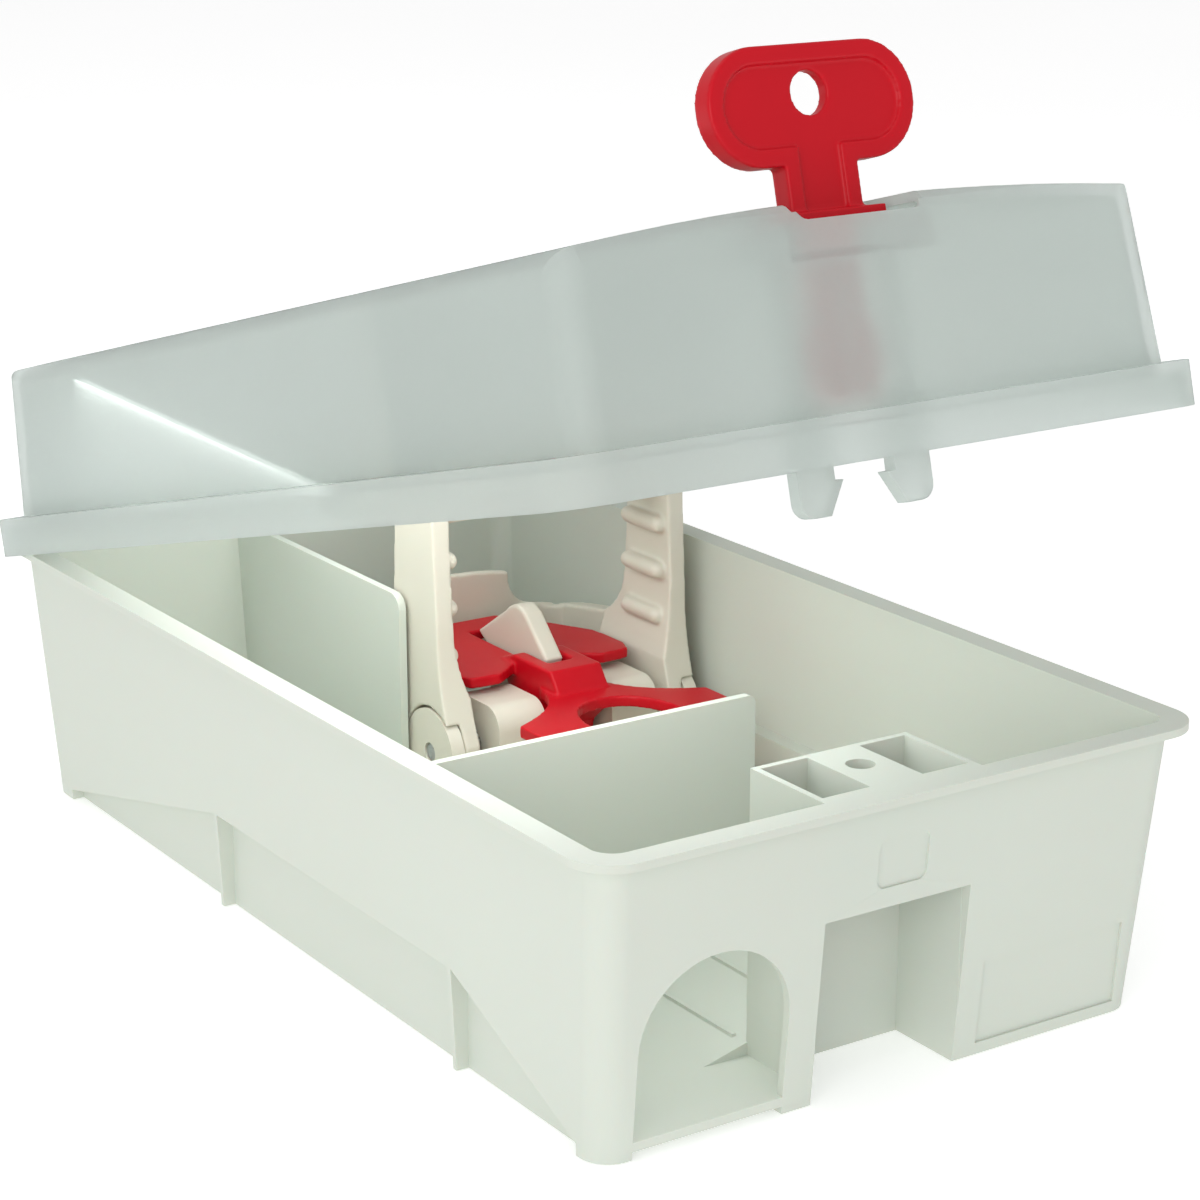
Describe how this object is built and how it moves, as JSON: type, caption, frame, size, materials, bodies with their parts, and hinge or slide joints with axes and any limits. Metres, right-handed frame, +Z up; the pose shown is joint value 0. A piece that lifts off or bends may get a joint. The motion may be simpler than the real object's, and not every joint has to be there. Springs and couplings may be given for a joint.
{
  "type": "mouse trap station",
  "caption": "Lockable mouse-trap station: open tray with arched entrances, dividers and lock block, hinged frosted lid with snap hooks, key, and a spring jaw trap with trigger.",
  "frame": {"origin": "centre of the tray's flat underside", "axes": "+Z up, +Y from the arched front end to the lid's hinge, +X to the trap's side"},
  "size_m": [0.1192, 0.2165, 0.1565],
  "materials": {
    "tray_plastic": "fine matte moulded, pale green-white",
    "lid_plastic": "frosted translucent, pale blue-green",
    "trap_plastic": "satin moulded, warm off-white",
    "red_plastic": "glossy moulded red",
    "steel": "drawn wire and pin"
  },
  "bodies": {
    "tray": {"tray": "tray_plastic", "hinge_pin_left": "steel", "hinge_pin_right": "steel"},
    "lid": {"lid_shell": "lid_plastic"},
    "hook_left": {"hook_left": "lid_plastic"},
    "hook_right": {"hook_right": "lid_plastic"},
    "key": {"key": "red_plastic"},
    "trap": {"trap_base": "trap_plastic", "jaw_axle": "steel", "bait_cup": "trap_plastic", "spring_left": "steel", "spring_right": "steel"},
    "jaw": {"jaw": "trap_plastic"},
    "trigger": {"trigger": "red_plastic"}
  },
  "joints": [
    {"name": "lid_hinge", "type": "hinge", "parent": "tray", "child": "lid", "pos_m": [0, 0.109, 0.0515], "axis": [-1, 0, 0], "range_deg": [-14.95, 95]},
    {"name": "key_slide", "type": "slide", "parent": "lid", "child": "key", "axis": [0, 0.258, 0.9662], "range_m": [-0.0028, 0.036]},
    {"name": "hook_left_flex", "type": "hinge", "parent": "lid", "child": "hook_left", "pos_m": [-0.0099, -0.07915, 0.12503], "axis": [0, 0.9662, -0.258], "range_deg": [0, 2], "stiffness_Nm_per_rad": 0.02},
    {"name": "hook_right_flex", "type": "hinge", "parent": "lid", "child": "hook_right", "pos_m": [0.0099, -0.07915, 0.12503], "axis": [0, -0.9662, 0.258], "range_deg": [0, 2], "stiffness_Nm_per_rad": 0.02},
    {"name": "trap_lift", "type": "slide", "parent": "tray", "child": "trap", "axis": [0, 0, 1], "range_m": [0, 0.024]},
    {"name": "jaw_hinge", "type": "hinge", "parent": "trap", "child": "jaw", "pos_m": [0.0205, 0.028, 0.0185], "axis": [1, 0, 0], "range_deg": [0, 87], "deforming": ["spring_left", "spring_right"]},
    {"name": "trigger_rock", "type": "hinge", "parent": "trap", "child": "trigger", "pos_m": [0.0205, 0.028, 0.0185], "axis": [-1, 0, 0], "range_deg": [0, 4], "stiffness_Nm_per_rad": 0.03, "springref_deg": -3.44}
  ],
  "couplings": [
    {"joint": "hook_right_flex", "follows": "hook_left_flex", "ratio": 1}
  ]
}
